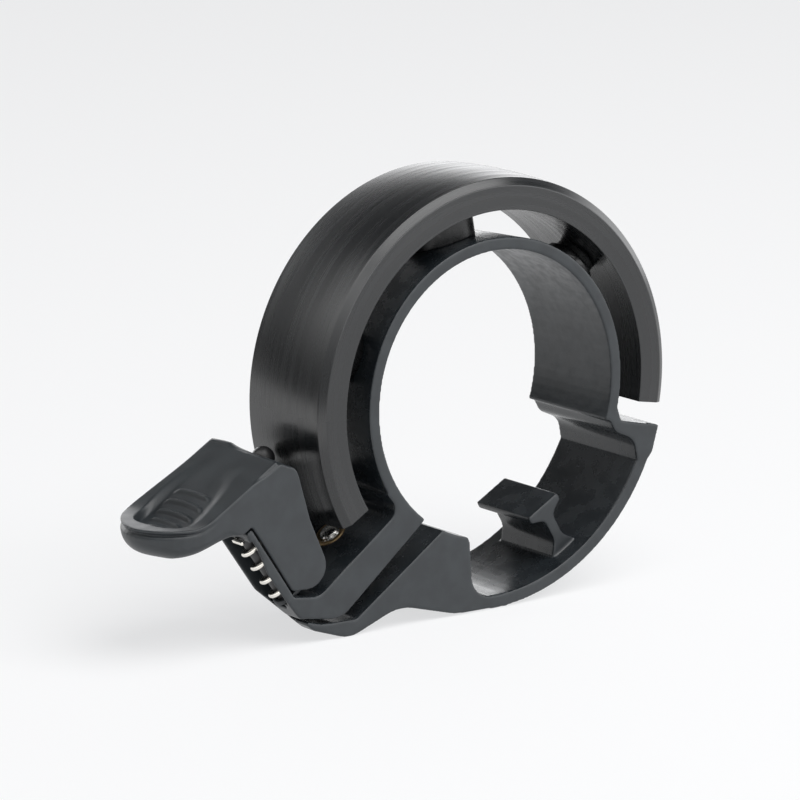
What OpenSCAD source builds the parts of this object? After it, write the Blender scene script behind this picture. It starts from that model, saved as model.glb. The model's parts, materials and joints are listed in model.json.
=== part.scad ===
// Bicycle bell: a C-shaped sounding ring on a slim handlebar clamp, struck by a sprung thumb lever.
// Frame: X to the right, +Y along the handlebar away from the front face, Z up, origin on the bar axis at mid-width.

/* [Clamp body] */
// Radius of the handlebar that the clamp holds
bar_r = 15.9; // [15.5:0.1:16.1]
// Width of the bell along the handlebar
width = 13.8; // [12.8:0.2:14.8]
// Thickness of the strap at its front edge
strap_wall = 1.36; // [1.2:0.02:1.5]
// Thickness of the strap at its back edge
strap_wall_back = 0.7; // [0.6:0.05:1.2]
// Thickness of the lower arm that carries the cable rest
arm_wall = 1.4; // [1.2:0.1:1.6]
// Outer radius of the lower arm
arm_r = 23.8; // [23.6:0.1:24]
// Length of the cable rest along the bar
rest_len = 9.5; // [7:0.5:11]

/* [Sounding ring] */
// Inner radius of the ring
ring_in_r = 20.2; // [20:0.1:20.4]
// Radius where the flat front face meets the chamfer
ring_face_r = 22.85; // [22.5:0.05:23]
// Radius where the chamfer meets the crowned outside
ring_edge_r = 23.68; // [23.5:0.02:23.8]
// Radius at the top of the crown
ring_crown_r = 23.95; // [23.8:0.05:24.2]
// Width of the ring along the bar
ring_w = 13.6; // [12.6:0.2:13.8]
// Polar angle where the ring starts, on the right
ring_start = -10; // [-12:1:-8]
// Angle that the ring covers
ring_sweep = 221; // [215:1:223]

/* [Ring supports] */
// Radius of a support post
post_r = 1.5; // [1.3:0.1:1.7]
// Radius of the grommets at the ring's quiet points
grommet_r = 3; // [2.7:0.1:3.3]
// Radius of the puck under the middle of the ring
puck_r = 4.2; // [3.8:0.1:4.4]
// Radius of their necks, which reach up to the ring
neck_r = 2.35; // [2.1:0.05:2.6]
// Depth of the ring's blind post holes
post_hole_depth = 1.5; // [1.2:0.1:1.8]

/* [Lever] */
// Angle of the lever's pivot pin below the horizontal
pin_slope = 55; // [54:0.5:56]
// Radius of the pivot pin
pin_r = 0.75; // [0.6:0.05:0.85]
// Radial running clearance of the lever on its pin
pin_play = 0.05; // [0.03:0.01:0.08]
// Thickness of the lever's leg
leg_depth = 4.6; // [4.2:0.1:4.7]
// Depth of the thumb dish
dish_depth = 0.9; // [0.6:0.1:1]
// Radius of the striker's round nose
nose_r = 1.3; // [1.1:0.1:1.4]
// Gap between the striker's nose and the ring at rest
nose_gap = 0.25; // [0.2:0.05:0.4]

/* [Return spring] */
// Mean radius of the spring's coils
coil_r = 1.2; // [1.15:0.05:1.25]
// Diameter of the spring wire
wire_d = 0.55; // [0.45:0.05:0.6]
// Number of turns
coil_turns = 4; // [3:1:5]

/* [Clamp bolt] */
// Radius of the bolt's thread
bolt_r = 1.25; // [1.2:0.05:1.3]
// Radius of the bolt head
head_r = 2.25; // [2.1:0.05:2.3]
// Height of the bolt head
head_h = 2.5; // [2:0.1:2.5]
// Outer radius of the brass insert
insert_r = 1.85; // [1.75:0.05:2]

/* [Hidden] */
$fn = 96;

front = -width / 2;
back = width / 2;
slop = 0.01;                     // overshoot of a cutting solid
strap_r = bar_r + strap_wall;
strap_back_r = bar_r + strap_wall_back;
arm_centre = [-0.35, -0.1];

// Polar angles of the three supports: the ends' quiet points lie 22.4 % in from each end
quiet = 0.224;
post_angles = [
  ring_start + quiet * ring_sweep,
  ring_start + ring_sweep / 2,
  ring_start + (1 - quiet) * ring_sweep
];

// The pivot pin's own frame: a runs outwards from the ring, b backwards along the bar, t down the pin
pin_origin = [-32.12, -10.96];
pin_back = 2.8;                  // pin axis behind the front face
pin_y = front + pin_back;
wall_b = 2.4;                    // back wall of the spring slot, behind the pin axis
rail_depth = 1.25;               // thickness of the rail in front of the spring
rail_in = 0.1;                   // the rail's inner edge, outwards of the pin axis
rail_out = 1.5;                  // the rail's outer edge
case_top = -0.9;                 // top of the body's case, along the pin
ear_end = -0.1;                  // lower end of the ear that holds the pin's top
slot_end = 10.1;                 // lower end of the spring slot
knuckle_t = [9.45, 10.05];           // the lever's lower knuckle
knuckle_r = 1.35;
pin_span = [-2.8, 11.4];
root_t = -1.1;                   // underside of the lever's root

// The bolt's own frame: k runs down the bolt from the insert's upper face
bolt_top = [-17.6, -14.15];
bolt_slope = 53.2;               // below the horizontal, square to the diagonal bar
insert_len = 3.3;
seat_k = 7.4;                    // the washer's seat in the lug
washer_h = 0.4;
bolt_tip = -0.3;

body_colour = [0.16, 0.17, 0.18];
ring_colour = [0.13, 0.14, 0.16];
steel_colour = [0.78, 0.78, 0.77];
brass_colour = [0.72, 0.55, 0.28];
rubber_colour = [0.06, 0.06, 0.065];

// ---- small helpers ----

function unit(v) = v / norm(v);
function rot2(v, a) = [v[0] * cos(a) - v[1] * sin(a), v[0] * sin(a) + v[1] * cos(a)];

// One rounded corner: the arc of radius r that joins the lines a-c and c-b
function corner(a, c, b, r, steps) =
  let (u = unit(a - c), v = unit(b - c), half = acos(u * v) / 2)
  r <= 0 ? [c] :
  let (
    reach = r / tan(half),
    turn = cross(-u, v) > 0 ? 1 : -1,
    start = c + u * reach,
    hub = start + rot2(-u, 90 * turn) * r,
    sweep = turn * (180 - 2 * half)
  )
  [for (i = [0 : steps]) hub + rot2(start - hub, sweep * i / steps)];

// A closed outline from corners [x, z, radius]
function outline(pts, steps = 8) =
  let (n = len(pts), xy = [for (p = pts) [p[0], p[1]]])
  [for (i = [0 : n - 1])
    each corner(xy[(i + n - 1) % n], xy[i], xy[(i + 1) % n], pts[i][2], steps)];

// Place in X, Z of a point of the pin's frame
function pin_xz(a, t) =
  [
    pin_origin[0] - a * sin(pin_slope) + t * cos(pin_slope),
    pin_origin[1] - a * cos(pin_slope) - t * sin(pin_slope)
  ];
function pin_corner(a, t, r) = [each pin_xz(a, t), r];

function polar(r, a) = [r * cos(a), r * sin(a)];

// Extrudes an X-Z outline from y0 to y1
module along_y(y0, y1) {
  translate([0, y1, 0]) rotate([90, 0, 0]) linear_extrude(y1 - y0) children();
}

module disc_y(r, y0, y1) {
  translate([0, y1, 0]) rotate([90, 0, 0]) cylinder(r = r, h = y1 - y0);
}

// The sector between two polar angles, out to radius r
module sector(r, a0, a1) {
  steps = 12;
  polygon([[0, 0], for (i = [0 : steps]) polar(r, a0 + (a1 - a0) * i / steps)]);
}

// Children built with +X outwards (a), +Y backwards (b) and +Z up the pin (minus t)
module in_pin_frame() {
  translate([pin_origin[0], pin_y, pin_origin[1]]) rotate([0, pin_slope - 90, 0]) mirror([1, 0, 0])
    children();
}

// A cylinder round the pin axis between two places along it
module round_pin(r, t0, t1) {
  in_pin_frame() translate([0, 0, -t1]) cylinder(r = r, h = t1 - t0);
}

// A block in the pin's frame, between corners [a, b, t]
module pin_block(low, high) {
  in_pin_frame() translate([low[0], low[1], -high[2]])
    cube([high[0] - low[0], high[1] - low[1], high[2] - low[2]]);
}

// Children built with +Z down the clamp bolt
module in_bolt_frame() {
  translate([bolt_top[0], 0, bolt_top[1]]) rotate([0, 90 + bolt_slope, 0]) children();
}

module round_bolt(r, k0, k1) {
  in_bolt_frame() translate([0, 0, k0]) cylinder(r = r, h = k1 - k0);
}

// A cylinder along the radius at a polar angle
module radial(angle, r, from, to) {
  rotate([0, -angle, 0]) translate([from, 0, 0]) rotate([0, 90, 0]) cylinder(r = r, h = to - from);
}

// ---- sounding ring ----

// The crown falls away from mid-width as a shallow arc
function crown_at(y) =
  ring_crown_r - (ring_crown_r - ring_edge_r) * pow(y / (ring_w / 2 - chamfer_w), 2);
chamfer_w = 0.55;

module sounding_ring() {
  edge = ring_w / 2 - chamfer_w;
  steps = 12;
  section = [
    [ring_in_r, -ring_w / 2], [ring_face_r, -ring_w / 2],
    for (i = [0 : steps]) let (y = edge * (2 * i / steps - 1)) [crown_at(y), y],
    [ring_face_r, ring_w / 2], [ring_in_r, ring_w / 2]
  ];
  color(ring_colour) difference() {
    rotate([90, 0, 0]) rotate([0, 0, ring_start]) rotate_extrude(angle = ring_sweep) polygon(section);
    for (i = [0 : 2]) translate([0, i == 1 ? 0 : quiet_y, 0])
      radial(post_angles[i], post_r, ring_in_r - 1, ring_in_r + post_hole_depth);
  }
}

// ---- clamp body ----

module strap_cone() {
  translate([0, back, 0]) rotate([90, 0, 0]) cylinder(r1 = strap_back_r, r2 = strap_r, h = width);
}

// The strap, open at the bottom between the frame and the notch
module strap() {
  intersection() {
    strap_cone();
    along_y(front, back) sector(2 * bar_r, -18, 221);
  }
}

// Frame round the striker pocket: rail, bottom block and diagonal bar
module frame() {
  along_y(front, back) polygon(outline([
    pin_corner(rail_out - 0.6, case_top, 0.2),
    pin_corner(rail_out, 2.8, 4),
    pin_corner(rail_out, 6.4, 8),
    pin_corner(rail_out - 0.35, 11.5, 0.5),
    [-21.0, -21.85, 3.2],
    [-10.0, -12.75, 0.3],
    [-9.2, -11.0, 0],
    [-13.9, -8.6, 0],
    [-14.9, -9.05, 0],
    [-13.26, -11.05, 1.4],
    [-23.9, -18.95, 2.2],
    [-27.2, -18.5, 0.35],
    pin_corner(rail_in, case_top, 0.1)
  ]));
}

// Wall behind the spring and the ear that holds the top of the pin
module spring_case() {
  pin_block([-0.7, wall_b, case_top], [rail_out, back - pin_y, 10]);
  pin_block([-0.9, 0, case_top], [rail_out - 0.2, wall_b + 0.5, ear_end]);
  round_pin(1.25, case_top, ear_end);
}

// Wall that closes the striker pocket at the back; its top stays under the striker's sweep
module back_wall() {
  wall = 1;
  top_t = 1;
  clear_r = ring_crown_r + 0.45;
  along_y(back - wall, back) difference() {
    polygon([
      pin_xz(-0.5, top_t), pin_xz(-6, top_t), [-22.6, -9.2], [-14.5, -9.2],
      [-14.0, -12], [-24, -19.4], [-27.4, -18.9]
    ]);
    intersection() {
      circle(r = clear_r);
      sector(2 * clear_r, 180, ring_start + ring_sweep + 1.5);
    }
  }
}

// Free end of the strap: arm, cable rest and bolted lug
module arm() {
  along_y(front, back) intersection() {
    translate(arm_centre) difference() {
      circle(r = arm_r);
      circle(r = arm_r - arm_wall);
    }
    sector(2 * arm_r, -92, -15.9);
  }
}

module notch_block() {
  along_y(front, back) polygon(outline([
    [15.2, -3.9, 0],
    [16.6, -6.5, 1.5],
    [19.3, -7.7, 2],
    [20.0, -11.6, 0],
    [21.9, -9.4, 0],
    [22.75, -6.5, 0.15],
    [17.35, -5.3, 0.75],
    [16.75, -3.3, 0]
  ]));
}

module lug() {
  along_y(front, back) polygon(outline([
    [-7.6, -14.3, 0.4],
    [-19.0, -22.2, 0.5],
    [-23.4, -22.05, 3],
    [-26.1, -21.4, 0.2],
    [-24.7, -22.6, 2],
    [-19.9, -24.2, 4],
    [-13.2, -21.7, 6],
    [-5.6, -23.75, 8],
    [1.5, -23.9, 0],
    [0.9, -22.45, 0],
    [-3.25, -22.5, 2.7],
    [-3.7, -15.3, 1.9],
    [-7.0, -13.6, 0]
  ]));
}

module cable_rest() {
  rest_angle = -60;
  profile = outline([
    [16.2, -2.3, 0.15], [17.05, -2.3, 0.2], [17.9, -0.65, 1.1], [20.7, -0.65, 1.6], [22.9, -2.3, 0],
    [22.9, 2.3, 0], [20.7, 0.65, 1.6], [17.9, 0.65, 1.1], [17.05, 2.3, 0.2], [16.2, 2.3, 0.15]
  ]);
  rotate([0, -rest_angle, 0]) along_y(-rest_len / 2, rest_len / 2) polygon(profile);
}

// A cutter outside a plane that passes through an X-Z point at y,
// runs down at slope and leans inwards by lean towards the back
module lean_cut(at, y, slope, lean) {
  size = 30;
  translate([at[0], y, at[1]]) rotate([0, slope - 90, 0]) mirror([1, 0, 0])
    rotate([0, 0, lean]) translate([0, 0, -size / 2]) cube(size);
}

// What the clamp body leaves open for the bar, the spring, the pin and the bolt
module body_cuts() {
  disc_y(bar_r, front - 1, back + 1);
  pin_block([-3, rail_depth - pin_back, ear_end], [4, wall_b, slot_end]);
  round_pin(pin_r, case_top - 1, 14);
  // the case's outer side and lower corner lean in towards the back
  lean_cut(pin_xz(rail_out, 0), pin_y + wall_b, pin_slope, 21.5);
  lean_cut([-27.24, -20.74], front + 1.3, 39.4, 12);
  round_bolt(insert_r, -1, insert_len);
  round_bolt(1.4, insert_len - slop, seat_k + slop);
  round_bolt(2.7, seat_k, 14);
}

module mount_body() {
  color(body_colour) difference() {
    union() {
      strap();
      frame();
      spring_case();
      back_wall();
      arm();
      notch_block();
      lug();
      cable_rest();
    }
    body_cuts();
  }
}

// ---- lever ----

// Centre of the striker's nose, in the striker's own polar direction
striker_angle = 191.9;
striker_y = 2;
stem_r = 0.8;
stem_end = 30.6;
nose_centre_r = crown_at(striker_y) + nose_gap + nose_r;

module leg() {
  along_y(front, front + leg_depth) polygon(outline([
    [-28.7, -3.5, 0.8],
    [-26.95, -3.95, 1.2],
    [-25.05, -10.4, 8],
    [-21.6, -18.15, 2.4],
    [-27.45, -17.8, 0.5],
    pin_corner(-0.1, 0.9, 0),
    pin_corner(-0.1, root_t, 0.35),
    pin_corner(1.5, root_t - 0.4, 0)
  ]));
}

paddle_sweep = 0.35;

// Plan of the paddle: full width at the root, rounded and slightly swept at the tip
module paddle_plan() {
  root_x = -25;
  round_x = -37.5;
  reach = 6.9;
  steps = 24;
  polygon([
    [root_x, back], [root_x, front],
    for (i = [0 : steps]) let (q = 180 * i / steps, y = front * cos(q))
      [round_x - reach * sin(q) + paddle_sweep * y * sin(q), y]
  ]);
}

module paddle() {
  intersection() {
    along_y(front, back) polygon(outline([
      [-28.6, -3.1, 0.9],
      [-38.9, -9.35, 6],
      [-46.4, -9.2, 0.8],
      [-45.7, -13.2, 1.4],
      [-41.5, -13, 5],
      [-36.4, -11.25, 3],
      pin_corner(0.9, root_t, 0),
      pin_corner(-6.9, root_t, 0.4),
      [-26.75, -5.3, 0.8]
    ]));
    translate([0, 0, -20]) linear_extrude(30) paddle_plan();
  }
}

// Oval hollow for the thumb: its floor runs out at the root and ends in a step at the tip
module dish() {
  centre_x = -35.9;
  half_len = 6;
  half_w = 5.2;
  steps = 36;
  intersection() {
    translate([0, 0, -20]) linear_extrude(30) polygon([
      for (i = [0 : steps - 1]) let (q = 360 * i / steps, y = half_w * sin(q))
        [centre_x + half_len * cos(q) + paddle_sweep * y * abs(sin(q)), y]
    ]);
    along_y(front, back) polygon(outline([
      [-29.6, -3.6, 0], [-37.5, -8.5 - dish_depth, 10], [-44, -9.5 - dish_depth, 0], [-44, 5, 0], [-29.6, 5, 0]
    ]));
  }
}

module lever() {
  spring_room = coil_r + wire_d / 2 + 0.27;
  color(body_colour) difference() {
    union() {
      leg();
      paddle();
      round_pin(knuckle_r, knuckle_t[0], knuckle_t[1]);
      // web that joins the knuckle to the leg's foot
      pin_block([-2.6, -knuckle_r + 0.05, knuckle_t[0] - 0.6], [0, knuckle_r - 0.05, knuckle_t[1]]);
    }
    dish();
    round_pin(spring_room, root_t, knuckle_t[0]);
    // room for the ear, over the lever's whole swing
    pin_block([-2.7, -0.2, root_t], [3, 3, ear_end + 0.25]);
    // groove for the spring's lower arm
    pin_block([-lower_arm - 0.6, coil_r - 0.35, coil_t[1] - 0.4], [0, coil_r + 0.35, knuckle_t[0] + slop]);
    round_pin(pin_r + pin_play, pin_span[0] - 0.2, 12);
    translate([0, striker_y, 0]) radial(striker_angle, stem_r, nose_centre_r, stem_end);
  }
}

// A stem pressed into the lever's root, with a round nose towards the ring
module striker() {
  color(rubber_colour) translate([0, striker_y, 0]) rotate([0, -striker_angle, 0]) {
    translate([nose_centre_r, 0, 0]) sphere(r = nose_r);
    translate([nose_centre_r, 0, 0]) rotate([0, 90, 0]) cylinder(r = stem_r, h = stem_end - nose_centre_r);
  }
}

module pivot_pin() {
  color(steel_colour) round_pin(pin_r, pin_span[0], pin_span[1]);
}

// ---- return spring ----

// The wire's centre line in the pin's frame: upper arm, coils, lower arm
coil_t = [0.45, 9.15];
upper_arm = 1.25;
lower_arm = 3;
coil_steps = 14;
last_turn = coil_turns + 0.25;
function coil_point(turn) =
  [
    coil_r * cos(360 * turn),
    coil_r * sin(360 * turn),
    -coil_t[0] - (coil_t[1] - coil_t[0]) * turn / last_turn
  ];
wire_path = [
  [coil_r, -upper_arm, -coil_t[0]],
  for (i = [0 : ceil(coil_steps * last_turn)]) coil_point(min(i / coil_steps, last_turn)),
  [-lower_arm, coil_r, -coil_t[1]]
];

// A tube with 8 sides along a path, as one closed polyhedron
module tube(path, r) {
  sides = 8;
  n = len(path);
  ring_at = function (i)
    let (
      d = unit(path[min(i + 1, n - 1)] - path[max(i - 1, 0)]),
      u = unit(cross(d, [0, 0, 1])),
      v = cross(d, u)
    )
    [for (s = [0 : sides - 1]) path[i] + r * (u * cos(360 * s / sides) + v * sin(360 * s / sides))];
  polyhedron(
    points = [for (i = [0 : n - 1]) each ring_at(i)],
    faces = [
      [for (s = [0 : sides - 1]) s],
      [for (s = [0 : sides - 1]) (n - 1) * sides + sides - 1 - s],
      for (i = [0 : n - 2], s = [0 : sides - 1])
        [i * sides + s, (i + 1) * sides + s, (i + 1) * sides + (s + 1) % sides, i * sides + (s + 1) % sides]
    ]
  );
}

module return_spring() {
  color(steel_colour) in_pin_frame() tube(wire_path, wire_d / 2);
}

// ---- ring supports ----

post_foot = 17.6;
quiet_y = -1;                    // the quiet points' supports stand this far in front of mid-width
flange_top = 19;

module ring_post(angle) {
  color(rubber_colour) radial(angle, post_r, post_foot, ring_in_r + post_hole_depth);
}

// A rubber seat moulded to the strap, round a post: the flange, then the neck
module grommet(angle, flange, neck, top) {
  color(rubber_colour) difference() {
    union() {
      radial(angle, flange, bar_r + 0.2, top);
      radial(angle, neck, bar_r + 0.2, ring_in_r - 0.15);
    }
    translate([0, -quiet_y, 0]) strap_cone();
    radial(angle, post_r, post_foot, ring_in_r + 2);
  }
}

module quiet_grommet(angle) {
  translate([0, quiet_y, 0]) grommet(angle, grommet_r, neck_r, flange_top);
}

// The wide puck fills the gap up to the ring's inside
module middle_grommet() {
  color(rubber_colour) difference() {
    intersection() {
      radial(post_angles[1], puck_r, bar_r + 0.2, ring_in_r + 1);
      disc_y(ring_in_r, front, back);
    }
    strap_cone();
    radial(post_angles[1], post_r, post_foot, ring_in_r + 2);
  }
}

module ring_post_right() { translate([0, quiet_y, 0]) ring_post(post_angles[0]); }
module ring_post_top() { ring_post(post_angles[1]); }
module ring_post_left() { translate([0, quiet_y, 0]) ring_post(post_angles[2]); }
module grommet_right() { quiet_grommet(post_angles[0]); }
module grommet_top() { middle_grommet(); }
module grommet_left() { quiet_grommet(post_angles[2]); }

// ---- clamp bolt ----

module thread_insert() {
  color(brass_colour) difference() {
    round_bolt(insert_r, 0, insert_len);
    round_bolt(bolt_r, -1, insert_len + 1);
  }
}

module clamp_bolt() {
  socket_r = 1.15;
  socket_depth = 1.3;
  head_k = seat_k + washer_h;
  color(steel_colour) difference() {
    union() {
      round_bolt(bolt_r, bolt_tip, head_k + slop);
      round_bolt(head_r, head_k, head_k + head_h);
    }
    in_bolt_frame() translate([0, 0, head_k + head_h - socket_depth])
      cylinder(r = socket_r, h = socket_depth + 1, $fn = 6);
  }
}

module bolt_washer() {
  color(steel_colour) difference() {
    round_bolt(2.5, seat_k, seat_k + washer_h);
    round_bolt(bolt_r + 0.1, seat_k - 1, seat_k + washer_h + 1);
  }
}

sounding_ring();
mount_body();
lever();
striker();
pivot_pin();
return_spring();
ring_post_right();
ring_post_top();
ring_post_left();
grommet_right();
grommet_top();
grommet_left();
thread_insert();
clamp_bolt();
bolt_washer();
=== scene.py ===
import json
import math

import bmesh
import bpy
from mathutils import Matrix, Vector


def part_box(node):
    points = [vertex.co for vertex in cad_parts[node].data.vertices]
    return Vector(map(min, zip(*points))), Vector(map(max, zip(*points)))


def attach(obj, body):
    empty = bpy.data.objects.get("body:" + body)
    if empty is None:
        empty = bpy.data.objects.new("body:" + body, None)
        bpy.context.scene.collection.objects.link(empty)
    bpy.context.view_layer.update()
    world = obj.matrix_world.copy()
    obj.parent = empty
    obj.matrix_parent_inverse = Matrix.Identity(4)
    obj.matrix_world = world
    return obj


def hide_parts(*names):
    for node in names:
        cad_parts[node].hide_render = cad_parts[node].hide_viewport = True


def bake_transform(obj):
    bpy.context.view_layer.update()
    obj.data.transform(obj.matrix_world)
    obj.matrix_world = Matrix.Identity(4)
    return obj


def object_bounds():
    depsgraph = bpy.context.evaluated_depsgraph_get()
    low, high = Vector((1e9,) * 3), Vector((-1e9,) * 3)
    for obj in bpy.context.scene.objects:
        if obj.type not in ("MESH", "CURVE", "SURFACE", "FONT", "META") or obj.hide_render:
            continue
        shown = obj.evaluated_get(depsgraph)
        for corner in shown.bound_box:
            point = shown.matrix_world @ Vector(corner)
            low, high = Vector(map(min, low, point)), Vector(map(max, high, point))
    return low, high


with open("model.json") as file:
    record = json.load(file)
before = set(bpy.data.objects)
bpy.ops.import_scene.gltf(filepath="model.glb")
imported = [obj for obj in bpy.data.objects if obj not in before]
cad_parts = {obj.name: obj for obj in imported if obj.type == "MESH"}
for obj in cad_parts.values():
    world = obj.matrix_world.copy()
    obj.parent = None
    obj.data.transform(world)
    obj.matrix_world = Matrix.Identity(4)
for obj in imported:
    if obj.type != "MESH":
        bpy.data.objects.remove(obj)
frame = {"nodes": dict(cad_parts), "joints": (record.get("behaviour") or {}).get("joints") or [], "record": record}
CAD_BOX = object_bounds()

MM = 0.001
NODES = frame["nodes"]
BODY, LEVER = "clamp", "thumb_lever"

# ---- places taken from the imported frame, in metres ----
HINGE = frame["joints"][0]
PIN_AT = Vector(HINGE["pos_m"])
PIN_DOWN = -Vector(HINGE["axis"]).normalized()
PIN_OUT = Vector((PIN_DOWN.z, 0, -PIN_DOWN.x))
PIN_BACK = Vector((0, 1, 0))
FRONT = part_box("mount_body")[0].y
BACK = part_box("mount_body")[1].y
BORE_R = frame["record"]["mounts"][0]["dims"]["r_mm"] * MM


# ---- mesh helpers ----
def add_object(name, bm, smooth=True):
    """A scene object made from bm, which is freed."""
    mesh = bpy.data.meshes.new(name)
    bm.normal_update()
    bm.to_mesh(mesh)
    bm.free()
    obj = bpy.data.objects.new(name, mesh)
    bpy.context.scene.collection.objects.link(obj)
    mesh.polygons.foreach_set("use_smooth", [smooth] * len(mesh.polygons))
    return obj


def modifier(obj, kind, **settings):
    m = obj.modifiers.new(kind.lower(), kind)
    for key, value in settings.items():
        setattr(m, key, value)
    return m


def apply_modifiers(obj):
    """Turns the object's modifiers into mesh."""
    graph = bpy.context.evaluated_depsgraph_get()
    final = bpy.data.meshes.new_from_object(obj.evaluated_get(graph))
    obj.modifiers.clear()
    old = obj.data
    obj.data = final
    final.name = obj.name
    bpy.data.meshes.remove(old)
    final.polygons.foreach_set("use_smooth", [True] * len(final.polygons))


def cad_copy(node, name):
    """A working copy of a CAD node's mesh, with its split corners welded."""
    bm = bmesh.new()
    bm.from_mesh(NODES[node].data)
    bmesh.ops.remove_doubles(bm, verts=bm.verts, dist=0.002 * MM)
    return add_object(name, bm)


def soften(obj, voxel, passes):
    """Remeshes a solid evenly and rounds its edges, as a mould does."""
    modifier(obj, "REMESH", mode="VOXEL", voxel_size=voxel, use_smooth_shade=True)
    modifier(obj, "SMOOTH", factor=0.5, iterations=passes)
    apply_modifiers(obj)


def thin_out(obj, ratio):
    """Keeps this share of the faces."""
    modifier(obj, "DECIMATE", decimate_type="COLLAPSE", ratio=ratio)
    apply_modifiers(obj)


def cut(obj, *cutters):
    """Takes the cutters' shapes out of the object, and removes the cutters."""
    for c in cutters:
        modifier(obj, "BOOLEAN", operation="DIFFERENCE", solver="MANIFOLD", object=c)
    apply_modifiers(obj)
    for c in cutters:
        bpy.data.objects.remove(c)


def circle(bm, hub, radius, side, third, steps):
    """New vertices on a circle round hub, in the plane of side and third."""
    turns = (2 * math.pi * i / steps for i in range(steps))
    return [bm.verts.new(hub + radius * (side * math.cos(q) + third * math.sin(q))) for q in turns]


def loft(name, bm, rings, smooth=True):
    """A solid skinned over successive rings of vertices, with a cap at each end."""
    count = len(rings[0])
    for a, b in zip(rings, rings[1:]):
        for i in range(count):
            j = (i + 1) % count
            bm.faces.new((a[i], a[j], b[j], b[i]))
    bm.faces.new(list(reversed(rings[0])))
    bm.faces.new(rings[-1])
    bmesh.ops.recalc_face_normals(bm, faces=bm.faces)
    return add_object(name, bm, smooth)


def lathe(name, profile, axis_at, axis, steps=64, closed=False):
    """Turns a profile of (radius, distance along the axis) round an axis.

    A radius of 0 closes an end of the solid; closed joins the profile's two ends into a ring.
    """
    along = Vector(axis).normalized()
    side = along.orthogonal().normalized()
    third = along.cross(side)
    bm = bmesh.new()
    rings = []
    for radius, distance in profile:
        hub = Vector(axis_at) + along * distance
        if radius == 0:
            rings.append([bm.verts.new(hub)])
        else:
            rings.append(circle(bm, hub, radius, side, third, steps))
    pairs = list(zip(rings, rings[1:]))
    if closed:
        pairs.append((rings[-1], rings[0]))
    for a, b in pairs:
        for i in range(steps):
            j = (i + 1) % steps
            if len(a) == 1:
                bm.faces.new((a[0], b[j], b[i]))
            elif len(b) == 1:
                bm.faces.new((a[i], a[j], b[0]))
            else:
                bm.faces.new((a[i], a[j], b[j], b[i]))
    bmesh.ops.recalc_face_normals(bm, faces=bm.faces)
    return add_object(name, bm)


def rounded(points):
    """An open profile from (x, y, corner radius) points, with arcs at the corners."""
    out = [Vector(points[0][:2])]
    for before, here, after in zip(points, points[1:], points[2:]):
        out += arc(Vector(before[:2]), Vector(here[:2]), Vector(after[:2]), here[2])
    return out + [Vector(points[-1][:2])]


def arc(a, c, b, radius, steps=5):
    """The points that round the corner c between a and b."""
    if radius <= 0:
        return [c]
    u, v = (a - c).normalized(), (b - c).normalized()
    half = u.angle(v) / 2
    start, end = c + u * (radius / math.tan(half)), c + v * (radius / math.tan(half))
    hub = c + (u + v).normalized() * (radius / math.sin(half))
    sweep = (start - hub).angle(end - hub)
    points = []
    for i in range(steps + 1):
        f = i / steps
        from_start = math.sin((1 - f) * sweep) * (start - hub)
        from_end = math.sin(f * sweep) * (end - hub)
        points.append(hub + (from_start + from_end) / math.sin(sweep))
    return points


def pin_point(out, back, down):
    """A point in the pivot pin's frame, in metres."""
    return PIN_AT + PIN_OUT * out + PIN_BACK * back + PIN_DOWN * down


def smooth_step(low, high, value):
    """0 at low and 1 at high, with a smooth rise between them."""
    f = min(max((value - low) / (high - low), 0), 1)
    return f * f * (3 - 2 * f)


# ---- material helpers ----
def smooth_range(tree, value, low, high, to_low, to_high):
    """A node socket that goes smoothly from to_low to to_high as value goes from low to high."""
    n = tree.nodes.new("ShaderNodeMapRange")
    n.interpolation_type = "SMOOTHSTEP"
    tree.links.new(value, n.inputs["Value"])
    keys = ("From Min", "From Max", "To Min", "To Max")
    for key, number in zip(keys, (low, high, to_low, to_high)):
        n.inputs[key].default_value = number
    return n.outputs["Result"]


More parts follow.
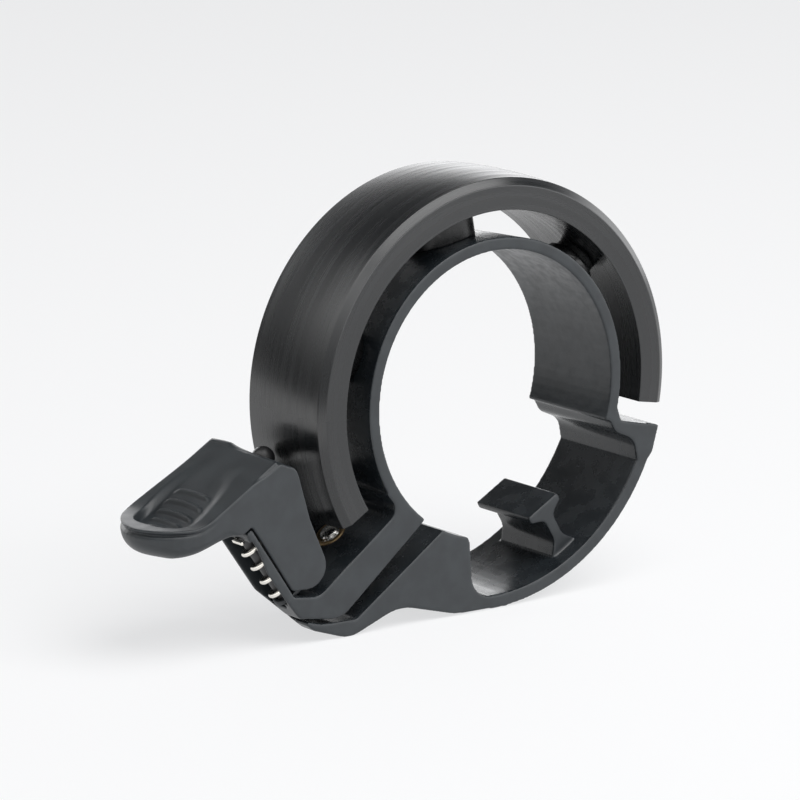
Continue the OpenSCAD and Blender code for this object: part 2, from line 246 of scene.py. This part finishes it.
class Paint:
    """A Principled material and short ways to add nodes to it."""

    def __init__(self, name, base, roughness, metallic=0.0, **sockets):
        self.material = bpy.data.materials.new(name)
        self.material.use_nodes = True
        self.tree = self.material.node_tree
        self.bsdf = self.tree.nodes["Principled BSDF"]
        self.bsdf.inputs["Base Color"].default_value = (*base, 1)
        self.bsdf.inputs["Roughness"].default_value = roughness
        self.bsdf.inputs["Metallic"].default_value = metallic
        for key, value in sockets.items():
            self.bsdf.inputs[key.replace("_", " ")].default_value = value

    def node(self, kind, **settings):
        n = self.tree.nodes.new(kind)
        for key, value in settings.items():
            setattr(n, key, value)
        return n

    def link(self, source, target):
        self.tree.links.new(source, target)

    def position(self):
        return self.node("ShaderNodeTexCoord").outputs["Object"]

    def math(self, operation, a, b=None):
        n = self.node("ShaderNodeMath", operation=operation)
        for socket, value in zip(n.inputs, (a, b)):
            if isinstance(value, (int, float)):
                socket.default_value = value
            elif value is not None:
                self.link(value, socket)
        return n.outputs[0]

    def noise(self, vector, scale, detail=3.0, roughness=0.5):
        n = self.node("ShaderNodeTexNoise")
        n.inputs["Scale"].default_value = scale
        n.inputs["Detail"].default_value = detail
        n.inputs["Roughness"].default_value = roughness
        self.link(vector, n.inputs["Vector"])
        return n.outputs["Fac"]

    def ramp(self, value, low, high, to_low, to_high):
        return smooth_range(self.tree, value, low, high, to_low, to_high)

    def mix(self, factor, a, b):
        """Mixes two colours."""
        n = self.node("ShaderNodeMix", data_type="RGBA")
        self.link(factor, n.inputs[0])
        n.inputs[6].default_value = (*a, 1)
        n.inputs[7].default_value = (*b, 1)
        return n.outputs[2]

    def blend(self, factor, a, b):
        """Mixes two numbers, each a value or a socket."""
        n = self.node("ShaderNodeMix", data_type="FLOAT")
        for socket, value in ((n.inputs[0], factor), (n.inputs[2], a), (n.inputs[3], b)):
            if isinstance(value, (int, float)):
                socket.default_value = value
            else:
                self.link(value, socket)
        return n.outputs[0]

    def bump(self, *layers):
        """Stacks (height, strength, distance) layers into the normal."""
        last = None
        for height, strength, distance in layers:
            n = self.node("ShaderNodeBump")
            n.inputs["Strength"].default_value = strength
            n.inputs["Distance"].default_value = distance
            self.link(height, n.inputs["Height"])
            if last:
                self.link(last, n.inputs["Normal"])
            last = n.outputs["Normal"]
        self.link(last, self.bsdf.inputs["Normal"])

    def to(self, socket, value):
        self.link(value, self.bsdf.inputs[socket])


def polar_parts(paint):
    """The angle round the bar's axis, the distance from it, and Y."""
    split = paint.node("ShaderNodeSeparateXYZ")
    paint.link(paint.position(), split.inputs[0])
    x, y, z = split.outputs
    angle = paint.math("ARCTAN2", z, x)
    square = paint.math("ADD", paint.math("MULTIPLY", x, x), paint.math("MULTIPLY", z, z))
    return angle, paint.math("SQRT", square), y


def ring_paint():
    """Black anodised aluminium, brushed round the ring."""
    base, shine = (0.006, 0.0065, 0.0075), {"Anisotropic": 0.7, "Anisotropic_Rotation": 0.25}
    p = Paint("ring_anodised", base, 0.26, IOR=1.65, **shine)
    per_radian, per_metre = 1.6, 2600
    lines = p.node("ShaderNodeCombineXYZ")
    for part, scale, socket in zip(polar_parts(p), (per_radian, per_metre, per_metre), lines.inputs):
        p.link(p.math("MULTIPLY", part, scale), socket)
    fine = p.noise(lines.outputs[0], 3.2, 4)
    broad = p.noise(lines.outputs[0], 0.55, 3)
    p.to("Base Color", p.mix(broad, (0.0045, 0.0055, 0.0065), (0.007, 0.0082, 0.0095)))
    p.to("Roughness", p.ramp(broad, 0.3, 0.7, 0.23, 0.3))
    p.bump((fine, 0.035, 0.006 * MM), (broad, 0.015, 0.015 * MM))
    tangent = p.node("ShaderNodeTangent", direction_type="RADIAL", axis="Y")
    p.link(tangent.outputs[0], p.bsdf.inputs["Tangent"])
    return p.material


def nylon_paint(name, dark, side_rough, grain_depth):
    """Moulded black nylon: fine grain, a slight mottle, its own gloss on the sides and a marked bore."""
    light, face_rough = (0.0195, 0.0245, 0.0285), 0.46
    p = Paint(name, dark, 0.45, IOR=1.53)
    place = p.position()
    grain = p.noise(place, 5200, 3, 0.6)
    mottle = p.noise(place, 420, 4, 0.55)
    p.to("Base Color", p.mix(p.ramp(mottle, 0.35, 0.7, 0, 1), dark, light))
    in_bore = p.ramp(polar_parts(p)[1], BORE_R + 0.12 * MM, BORE_R + 0.02 * MM, 0, 1)
    facing = p.node("ShaderNodeSeparateXYZ")
    p.link(p.node("ShaderNodeTexCoord").outputs["Normal"], facing.inputs[0])
    face_on = p.ramp(p.math("ABSOLUTE", facing.outputs[1]), 0.6, 0.9, 0, 1)
    flow = p.noise(place, 900, 5, 0.6)
    sides = p.ramp(mottle, 0.3, 0.7, side_rough - 0.03, side_rough + 0.05)
    outside = p.blend(face_on, sides, face_rough)
    p.to("Roughness", p.blend(in_bore, outside, p.ramp(flow, 0.3, 0.7, 0.28, 0.42)))
    p.bump((grain, 0.3, grain_depth), (p.math("MULTIPLY", flow, in_bore), 0.18, 0.04 * MM))
    return p.material


def metal_paint(name, base, roughness):
    """Bright metal with fine scratches."""
    p = Paint(name, base, roughness, metallic=1.0)
    marks = p.noise(p.position(), 3000, 4, 0.6)
    p.to("Roughness", p.ramp(marks, 0.3, 0.7, roughness * 0.75, roughness * 1.3))
    p.bump((marks, 0.08, 0.004 * MM))
    return p.material


def gloss_paint(name, base, roughness):
    """Smooth black rubber or moulded gloss."""
    p = Paint(name, base, roughness, IOR=1.5)
    marks = p.noise(p.position(), 1500, 3)
    p.to("Roughness", p.ramp(marks, 0.3, 0.7, roughness * 0.8, roughness * 1.25))
    p.bump((marks, 0.03, 0.004 * MM))
    return p.material


MATERIALS = {
    "ring_metal": ring_paint(),
    "body_nylon": nylon_paint("body_nylon", (0.0125, 0.0162, 0.0195), 0.26, 0.01 * MM),
    "lever_nylon": nylon_paint("lever_nylon", (0.0135, 0.0172, 0.0205), 0.42, 0.02 * MM),
    "striker_black": gloss_paint("striker_black", (0.008, 0.008, 0.009), 0.4),
    "pin_steel": gloss_paint("pin_steel", (0.03, 0.03, 0.032), 0.35),
    "spring_steel": metal_paint("spring_steel", (0.86, 0.83, 0.77), 0.22),
    "post_black": gloss_paint("post_black", (0.008, 0.008, 0.009), 0.2),
    "grommet_rubber": gloss_paint("grommet_rubber", (0.009, 0.0095, 0.01), 0.28),
    "insert_brass": metal_paint("insert_brass", (0.4, 0.28, 0.15), 0.35),
    "bolt_steel": metal_paint("bolt_steel", (0.72, 0.71, 0.68), 0.25),
}
SLOTS = {row["node"]: row["material_slot"] for row in frame["record"]["subparts"]}


def finish_piece(obj, node, body=BODY, rides=True):
    """Gives a new piece its node's finish and body, and shows it instead of the node."""
    obj.data.materials.clear()
    obj.data.materials.append(MATERIALS[SLOTS[node]])
    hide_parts(node)
    if rides:
        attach(obj, body)
    return obj


# ---- sounding ring: radii and widths in mm, angles in degrees ----
RING_IN, RING_FACE, RING_EDGE, RING_CROWN = 20.2, 22.85, 23.68, 23.95
RING_HALF, CHAMFER = 6.8, 0.55
RING_START, RING_SWEEP = -10, 221


def make_ring():
    """A crowned, chamfered section swept round the bar's axis, open at the bottom."""
    crown = []
    for f in (i / 10 for i in range(-10, 11)):
        crown.append((RING_CROWN - (RING_CROWN - RING_EDGE) * f * f, (RING_HALF - CHAMFER) * f))
    front = [(RING_IN, -RING_HALF), (RING_FACE, -RING_HALF)]
    section = front + crown + [(RING_FACE, RING_HALF), (RING_IN, RING_HALF)]
    steps = 220
    bm = bmesh.new()
    rings = []
    for i in range(steps + 1):
        q = math.radians(RING_START + RING_SWEEP * i / steps)
        points = [(r * MM * math.cos(q), y * MM, r * MM * math.sin(q)) for r, y in section]
        rings.append([bm.verts.new(point) for point in points])
    ring = loft("ring_visual", bm, rings)
    modifier(ring, "BEVEL", width=0.09 * MM, segments=3, limit_method="ANGLE",
             angle_limit=math.radians(20), harden_normals=True)
    apply_modifiers(ring)
    return finish_piece(ring, "sounding_ring")


# ---- clamp body ----
def rail_wedge():
    """A cutter that slants the outer side of the rail in front of the spring."""
    bm = bmesh.new()
    rings = []
    for t, edge, inner in ((0.15, 0.8, 0.3), (1.5, 0.85, 0.3), (4.6, 1.5, 0.65), (9.4, 1.5, 0.65)):
        section = ((edge, -2.9), (3.5, -2.9), (3.5, -1.4), (inner, -1.4))
        rings.append([bm.verts.new(pin_point(a * MM, b * MM, t * MM)) for a, b in section])
    return loft("rail_wedge", bm, rings, smooth=False)


def make_body():
    """The moulded strap, hook, block and lug, with softened edges."""
    body = cad_copy("mount_body", "mount_body_visual")
    soften(body, 0.12 * MM, 2)
    cut(body, rail_wedge())
    soften(body, 0.12 * MM, 2)
    thin_out(body, 0.14)
    return finish_piece(body, "mount_body")


# ---- lever: all in mm, with the paddle's tip at the low end of X ----
HALF_W = 6.9
ROUND_X, REACH, SWEEP = -37.5, 6.9, 0.35            # plan of the tip: its start, length and slant
CREST_X, CREST_Z, CREST_SLOPE = -28.6, -3.1, 0.607  # the rim's fall from the crest
TIP_X, TIP_Z, TIP_SLOPE = -38.9, -9.35, 0.02        # the rim's level stretch at the tip
STEP_Y = 2.8                                        # where the crest drops a little towards the front
DISH_X, DISH_TIP, DISH_ROOT, DISH_W = -37.5, 5.0, 8.0, 5.2
DISH_DEPTH = 0.95
RIB_X, RIB_PITCH, RIB_BOW, RIB_HEIGHT = -40.4, 1.3, 0.025, 0.36
UNDER_X = -33.9                                     # the underside is rounded from here to the tip
CREASE_DROP, CREASE_DEPTH = 0.5, 0.42


def rim_height(x):
    """Z of the paddle's rim: a slope down from the crest, then level to the tip."""
    slope = CREST_Z + CREST_SLOPE * (x - CREST_X)
    tip = TIP_Z + TIP_SLOPE * (TIP_X - x)
    tightness = 3
    return math.log(math.exp(tightness * slope) + math.exp(tightness * tip)) / tightness


def underside(x):
    """Z of the paddle's underside along its middle."""
    places = ((-33.5, -10.58), (-36.4, -11.25), (-41.5, -12.9), (-46, -13.2))
    for (x0, z0), (x1, z1) in zip(places, places[1:]):
        if x >= x1:
            return z0 + (z1 - z0) * (x - x0) / (x1 - x0)
    return places[-1][1]


def crest_shift(y):
    """How much the crest rises or falls from the CAD's level, across the lever."""
    rise = 0.25
    if y > STEP_Y:
        return rise - rise * ((y - STEP_Y) / (HALF_W - STEP_Y)) ** 2
    return rise - 0.3 * (1 - math.exp((y - STEP_Y) / 1.2)) - 0.035 * (STEP_Y - y)


def dish_depth(x, y):
    """Depth of the thumb dish, less its grip ribs: a step at the tip, running out at the root."""
    along = x - SWEEP * y * abs(y) / DISH_W - DISH_X
    u = along / DISH_TIP if along < 0 else along / DISH_ROOT
    reach = math.hypot(u, y / DISH_W)
    steep = smooth_step(0.2, -0.8, u)
    wall = 1 - smooth_step(0.68 + 0.18 * steep, 1.0, reach)
    wave = max(math.cos(2 * math.pi * (x + RIB_BOW * y * y - RIB_X) / RIB_PITCH), 0)
    ribs = RIB_HEIGHT * wave * smooth_step(0.7, 0.5, reach) * smooth_step(-34.2, -35.6, x)
    return DISH_DEPTH * wall * smooth_step(0.95, -0.8, u) - ribs


def sculpt(x, y, z):
    """Moves a point of the lever's surface, in mm: crest, dish, crease and rounded underside."""
    z += crest_shift(y) * smooth_step(-5.6, -4.0, z)
    u, v = max((ROUND_X - x) / (REACH - SWEEP * y), 0), y / HALF_W
    reach = max(math.hypot(u, v), 0.01)
    inset, tipward = (1 - reach) * HALF_W, smooth_step(0.15, 0.95, u / reach)
    rim = rim_height(x)
    if x < -29.2 and z > rim - 1.6 and inset > 0.3:
        z = rim - dish_depth(x, y)
    # the edge of the upper side, softest at the back of the crest
    if x < -27.4:
        soft = 0.35 + 1.3 * smooth_step(-40, -31, x) * smooth_step(0, 5, y)
        edge = min(max((soft - inset) / soft, 0), 1)
        top = min(rim, CREST_Z) + 0.15
        z = min(z, top - soft * (1 - math.sqrt(1 - edge * edge)))
    if x > UNDER_X:
        return x, y, z
    # underside
    wide, tall = 1.3 + 2.9 * tipward, 1.2 + 1.7 * tipward
    edge = min(max((wide - inset) / wide, 0), 1)
    low = underside(x) + tall * (1 - math.sqrt(1 - edge * edge))
    z += (max(z, low) - z) * smooth_step(UNDER_X, -35.8, x)
    # crease under the rim
    drop = (rim - z - CREASE_DROP) / (0.13 + 0.07 * tipward)
    near_tip, near_edge = smooth_step(-36.2, -42.5, x), smooth_step(1.2, 0.5, inset)
    depth = CREASE_DEPTH * math.exp(-drop * drop) * near_tip * near_edge
    return x + depth * u / reach, y - depth * v / reach, z


def make_lever():
    """The arm and thumb paddle: the CAD's shape, sculpted."""
    lever = cad_copy("lever", "lever_visual")
    soften(lever, 0.1 * MM, 3)
    for vertex in lever.data.vertices:
        vertex.co = Vector(sculpt(*(vertex.co / MM))) * MM
    soften(lever, 0.1 * MM, 3)
    thin_out(lever, 0.4)
    return finish_piece(lever, "lever", LEVER)


# ---- striker ----
def make_striker():
    obj = cad_copy("striker", "striker_visual")
    soften(obj, 0.08 * MM, 2)
    return finish_piece(obj, "striker", LEVER)


# ---- pivot pin ----
def make_pin():
    """A plain pin with chamfered ends, through the lug and the lever."""
    radius, chamfer = 0.75, 0.12
    start, end = -2.8, 11.4
    profile = [(0, start), (radius - chamfer, start), (radius, start + chamfer),
               (radius, end - chamfer), (radius - chamfer, end), (0, end)]
    pin = lathe("pivot_pin_visual", [(r * MM, t * MM) for r, t in profile], PIN_AT, PIN_DOWN, 48)
    modifier(pin, "BEVEL", width=0.03 * MM, segments=2, limit_method="ANGLE")
    apply_modifiers(pin)
    return finish_piece(pin, "pivot_pin")


# ---- return spring: in mm, in the pin's frame ----
COIL_R, WIRE_R = 1.2, 0.275
COIL_T = (0.45, 9.15)
TURNS = 4.25
UPPER_ARM, LOWER_ARM = 1.25, 3.0


def spring_path():
    """Centre line in the pin's frame: upper arm, coils, lower arm."""
    start, end = COIL_T
    path = [(COIL_R, -UPPER_ARM * (1 - i / 6), start) for i in range(6)]
    count = int(48 * TURNS)
    for i in range(count + 1):
        f = i / count
        q = 2 * math.pi * TURNS * f
        path.append((COIL_R * math.cos(q), COIL_R * math.sin(q), start + (end - start) * f))
    path += [(-LOWER_ARM * i / 6, COIL_R, end) for i in range(1, 7)]
    return [pin_point(a * MM, b * MM, t * MM) for a, b, t in path]


def tube(name, path, radius, sides=14):
    """A round wire along a path, with chamfered ends."""
    chamfer, end_radius = radius * 0.3, radius * 0.7
    last = len(path) - 1
    bm = bmesh.new()
    rings = []
    for i, p in enumerate(path):
        d = (path[min(i + 1, last)] - path[max(i - 1, 0)]).normalized()
        u = d.cross(PIN_DOWN).normalized()
        v = d.cross(u)
        if i == 0:
            rings.append(circle(bm, p - d * chamfer, end_radius, u, v, sides))
        rings.append(circle(bm, p, radius, u, v, sides))
        if i == last:
            rings.append(circle(bm, p + d * chamfer, end_radius, u, v, sides))
    return loft(name, bm, rings)


def make_spring():
    """The torsion spring round the pin, its upper arm at the clamp and its lower arm at the lever; it rides with
    neither body.
    """
    spring = tube("return_spring_visual", spring_path(), WIRE_R * MM)
    finish_piece(spring, "return_spring", rides=False)
    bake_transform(spring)
    return spring


# ---- ring supports ----
QUIET_Y = -1 * MM
# the two shares of its length at which a free bar stays still as it rings
QUIET_ANGLES = {"right": RING_START + 0.224 * RING_SWEEP, "left": RING_START + 0.776 * RING_SWEEP}
STRAP_FRONT_R, STRAP_BACK_R = BORE_R + 1.36 * MM, BORE_R + 0.7 * MM


def radial_way(angle):
    """The outward direction at an angle round the bar, in degrees."""
    return Vector((math.cos(math.radians(angle)), 0, math.sin(math.radians(angle))))


def make_grommet(side):
    """A moulded rubber spool: a flange with rounded rims on the strap, and a neck up to the ring."""
    shape = rounded([(1.5, 16.1, 0), (3.0, 16.1, 0), (3.0, 19.0, 0.24), (2.35, 19.0, 0.3),
                     (2.35, 20.05, 0.2), (1.5, 20.05, 0)])
    at = Vector((0, QUIET_Y, 0))
    way = radial_way(QUIET_ANGLES[side])
    spool = lathe(f"grommet_{side}_visual", [(p.x * MM, p.y * MM) for p in shape], at, way, 96, closed=True)
    length, taper = BACK - FRONT, STRAP_FRONT_R - STRAP_BACK_R
    strap = [(0, -length), (STRAP_FRONT_R + taper, -length),
             (STRAP_BACK_R - taper, 2 * length), (0, 2 * length)]
    cut(spool, lathe("strap_cutter", strap, (0, FRONT, 0), (0, 1, 0), 192))
    return finish_piece(spool, f"grommet_{side}")


def make_post(side, angle, y):
    """The round post inside a support, from the strap to the ring."""
    shape = rounded([(0, 17.6, 0), (1.5, 17.6, 0.1), (1.5, 21.7, 0.15), (0, 21.7, 0)])
    profile = [(p.x * MM, p.y * MM) for p in shape]
    post = lathe(f"ring_post_{side}_visual", profile, (0, y, 0), radial_way(angle), 64)
    return finish_piece(post, f"ring_post_{side}")


def make_puck():
    """The wide rubber puck between the strap and the middle of the ring."""
    puck = cad_copy("grommet_top", "grommet_top_visual")
    soften(puck, 0.08 * MM, 3)
    thin_out(puck, 0.4)
    return finish_piece(puck, "grommet_top")


# ---- clamp bolt, washer and insert: radii and heights in mm, down the bolt's axis ----
BOLT_TOP = Vector((-17.6, 0, -14.15)) * MM
BOLT_TILT = math.radians(53.2)
BOLT_WAY = Vector((math.cos(BOLT_TILT), 0, -math.sin(BOLT_TILT)))
SEAT, WASHER_H, HEAD_H = 7.4, 0.4, 2.5


def bolt_sleeve(name, points):
    """A ring round the bolt's axis, from (radius, height, corner radius) points."""
    profile = [(p.x * MM, p.y * MM) for p in rounded(points)]
    return lathe(name, profile, BOLT_TOP, BOLT_WAY, 72, closed=True)


def make_insert():
    """The brass insert that takes the bolt, countersunk at its top."""
    inner, outer, height = 1.26, 1.85, 3.3
    shape = [(inner, 0.22, 0), (1.42, 0.0, 0.05), (outer, 0.0, 0.14),
             (outer, height, 0.1), (inner, height, 0)]
    return finish_piece(bolt_sleeve("thread_insert_visual", shape), "thread_insert")


def make_washer():
    inner, outer, top = 1.36, 2.5, SEAT + WASHER_H
    shape = [(inner, SEAT, 0), (outer, SEAT, 0.08), (outer, top, 0.12), (inner, top, 0)]
    return finish_piece(bolt_sleeve("bolt_washer_visual", shape), "bolt_washer")


def make_bolt():
    """A cap bolt: a hex socket in a knurled round head, and a threaded shank with a chamfered tip."""
    radius, depth, pitch = 1.25, 0.13, 0.45
    side = BOLT_WAY.orthogonal().normalized()
    third = BOLT_WAY.cross(side)
    start, neck, top = -0.3, SEAT + WASHER_H, SEAT + WASHER_H + HEAD_H
    steps = 60
    bm = bmesh.new()
    rings = []

    def ring(k, size):
        """A ring of vertices at height k, whose radius is size(turn)."""
        hub = BOLT_TOP + BOLT_WAY * k * MM
        points = []
        for q in (2 * math.pi * i / steps for i in range(steps)):
            r = size(q) * MM
            points.append(bm.verts.new(hub + r * (side * math.cos(q) + third * math.sin(q))))
        rings.append(points)

    tip_radius = 1.0
    ring(start, lambda q: tip_radius)
    length, row = neck - start - 0.3, 0.06
    count = int(length / row)
    for i in range(count + 1):
        k = start + row + length * i / count
        entry = smooth_step(start, start + 0.35, k)
        ring(k, lambda q: (1 - 0.25 * (1 - entry)) * (
            radius - depth * (0.5 + 0.5 * math.cos(2 * math.pi * k / pitch - q)) * entry))
    ring(neck - 0.02, lambda q: radius)
    head = [(1.3, neck + 0.02, 0), (2.25, neck + 0.02, 0.12), (2.25, top, 0.3), (1.3, top, 0)]
    for r, k in rounded(head):
        knurl = 0.05 if neck + 0.4 < k < top - 0.45 else 0.0
        ring(k, lambda q: r - knurl * (0.5 + 0.5 * math.cos(30 * q)))
    bolt = loft("clamp_bolt_visual", bm, rings)
    socket_at = BOLT_TOP + BOLT_WAY * (top - 1.3) * MM
    profile = [(0, 0), (1.15 * MM, 0), (1.15 * MM, 2 * MM), (0, 2 * MM)]
    cut(bolt, lathe("socket_cutter", profile, socket_at, BOLT_WAY, 6))
    modifier(bolt, "BEVEL", width=0.04 * MM, segments=2, limit_method="ANGLE", angle_limit=math.radians(50))
    apply_modifiers(bolt)
    return finish_piece(bolt, "clamp_bolt")


# ---- stage and light ----
PAPER_WHITE = (0.985, 0.99, 1.0)
FLOOR_GLOW = 0.67                     # the paper is lit from all round, so shadows on it stay pale
ROOM_LEVEL, PAPER_LEVEL = 0.09, 2.8
BOX_RADIANCE = 3.6
BOX_AT, BOX_SIZE = Vector((0.09, -0.26, 0.52)), (0.62, 0.56)


def make_stage():
    """White paper under the bell."""
    floor_z, half = CAD_BOX[0].z, 4.0
    bm = bmesh.new()
    corners = ((-half, -half), (half, -half), (half, half), (-half, half))
    bm.faces.new([bm.verts.new((x, y, floor_z)) for x, y in corners])
    floor = add_object("floor", bm, smooth=False)
    paint = Paint("floor_white", (0.3, 0.3, 0.301), 0.9, Specular_IOR_Level=0.0)
    paint.bsdf.inputs["Emission Color"].default_value = (*PAPER_WHITE, 1)
    paint.bsdf.inputs["Emission Strength"].default_value = FLOOR_GLOW
    floor.data.materials.append(paint.material)


def make_world():
    """A dim studio: white low down behind and to the right, where the paper sweeps up, and grey above."""
    world = bpy.data.worlds.new("studio")
    bpy.context.scene.world = world
    world.use_nodes = True
    tree = world.node_tree
    background = tree.nodes["Background"]
    coordinates = tree.nodes.new("ShaderNodeTexCoord")

    def along(direction):
        n = tree.nodes.new("ShaderNodeVectorMath")
        n.operation = "DOT_PRODUCT"
        tree.links.new(coordinates.outputs["Generated"], n.inputs[0])
        n.inputs[1].default_value = direction
        return n.outputs["Value"]

    paper = tree.nodes.new("ShaderNodeMath")
    paper.operation = "MULTIPLY"
    low_down = smooth_range(tree, along((0, 0, 1)), 0.26, 0.46, 1, 0)
    not_left = smooth_range(tree, along((-1, 0, 0)), -0.05, 0.26, 1, 0)
    tree.links.new(low_down, paper.inputs[0])
    tree.links.new(not_left, paper.inputs[1])
    level = tree.nodes.new("ShaderNodeMapRange")
    tree.links.new(paper.outputs[0], level.inputs["Value"])
    level.inputs["To Min"].default_value = ROOM_LEVEL
    level.inputs["To Max"].default_value = PAPER_LEVEL
    tree.links.new(level.outputs["Result"], background.inputs["Strength"])
    background.inputs["Color"].default_value = (*PAPER_WHITE, 1)


def make_softbox():
    """One large soft box above the camera's side."""
    data = bpy.data.lights.new("softbox", "AREA")
    data.shape = "RECTANGLE"
    data.size, data.size_y = BOX_SIZE
    data.energy = BOX_RADIANCE * math.pi * BOX_SIZE[0] * BOX_SIZE[1]
    light = bpy.data.objects.new("softbox", data)
    light.location = BOX_AT
    light.rotation_mode = "QUATERNION"
    light.rotation_quaternion = BOX_AT.to_track_quat("Z", "Y")
    bpy.context.scene.collection.objects.link(light)


def make_flag():
    """A black flag to the left, seen only as a reflection: it keeps the ring's side dark.

    Its front top, its back and its foot are pale, for the soft lights along the ring.
    """
    ends = (Vector((-0.118, 0.2, 0)), Vector((-0.038, -0.12, 0)))
    floor_z, height = CAD_BOX[0].z + 1 * MM, 0.2
    bm = bmesh.new()
    bm.faces.new([
        bm.verts.new((e.x, e.y, z)) for e, z in
        ((ends[0], floor_z), (ends[1], floor_z), (ends[1], height), (ends[0], height))
    ])
    flag = add_object("flag", bm, smooth=False)
    paint = Paint("flag_black", (0.0, 0.0, 0.0), 0.9, Specular_IOR_Level=0.0)
    split = paint.node("ShaderNodeSeparateXYZ")
    paint.link(paint.position(), split.inputs[0])
    y, z = split.outputs[1], split.outputs[2]
    slanted = paint.math("SUBTRACT", y, paint.math("MULTIPLY", z, 0.4))
    in_front, up = paint.ramp(slanted, 0.035, 0.085, 1, 0), paint.ramp(z, 0, 0.07, 0.3, 2.2)
    front = paint.math("MULTIPLY", in_front, up)
    back = paint.ramp(y, 0.155, 0.175, 0, 0.7)
    low = paint.ramp(z, -0.012, -0.004, 1.1, 0)
    level = paint.math("ADD", paint.math("ADD", front, back), paint.math("ADD", low, 0.04))
    paint.to("Emission Strength", level)
    paint.bsdf.inputs["Emission Color"].default_value = (1, 1, 1, 1)
    flag.data.materials.append(paint.material)
    flag.visible_camera = False
    flag.visible_diffuse = False
    flag.visible_shadow = False


def make_camera():
    """The photograph's viewpoint: 36.9 degrees to the left of the bar's axis and 12.6 degrees up."""
    azimuth, elevation, distance = math.radians(-36.90), math.radians(12.58), 0.6
    shift_right, shift_up = -6.44 * MM, -1.82 * MM
    level = math.cos(elevation)
    back = Vector((math.sin(azimuth) * level, -math.cos(azimuth) * level, math.sin(elevation)))
    right = (-back).cross(Vector((0, 0, 1))).normalized()
    up = right.cross(-back)
    data = bpy.data.cameras.new("camera")
    data.lens = 246.8
    data.sensor_width = 36
    data.clip_start, data.clip_end = 0.01, 20
    camera = bpy.data.objects.new("camera", data)
    turn = Matrix((right, up, back)).transposed()
    place = back * distance + right * shift_right + up * shift_up
    camera.matrix_world = Matrix.Translation(place) @ turn.to_4x4()
    bpy.context.scene.collection.objects.link(camera)
    bpy.context.scene.camera = camera


make_camera()
make_stage()
make_world()
make_softbox()
make_flag()
make_ring()
make_body()
make_lever()
make_striker()
make_pin()
make_spring()
for SIDE, ANGLE in QUIET_ANGLES.items():
    make_grommet(SIDE)
    make_post(SIDE, ANGLE, QUIET_Y)
make_puck()
make_post("top", RING_START + RING_SWEEP / 2, 0)
make_insert()
make_washer()
make_bolt()

bpy.context.scene.view_settings.view_transform = "Standard"
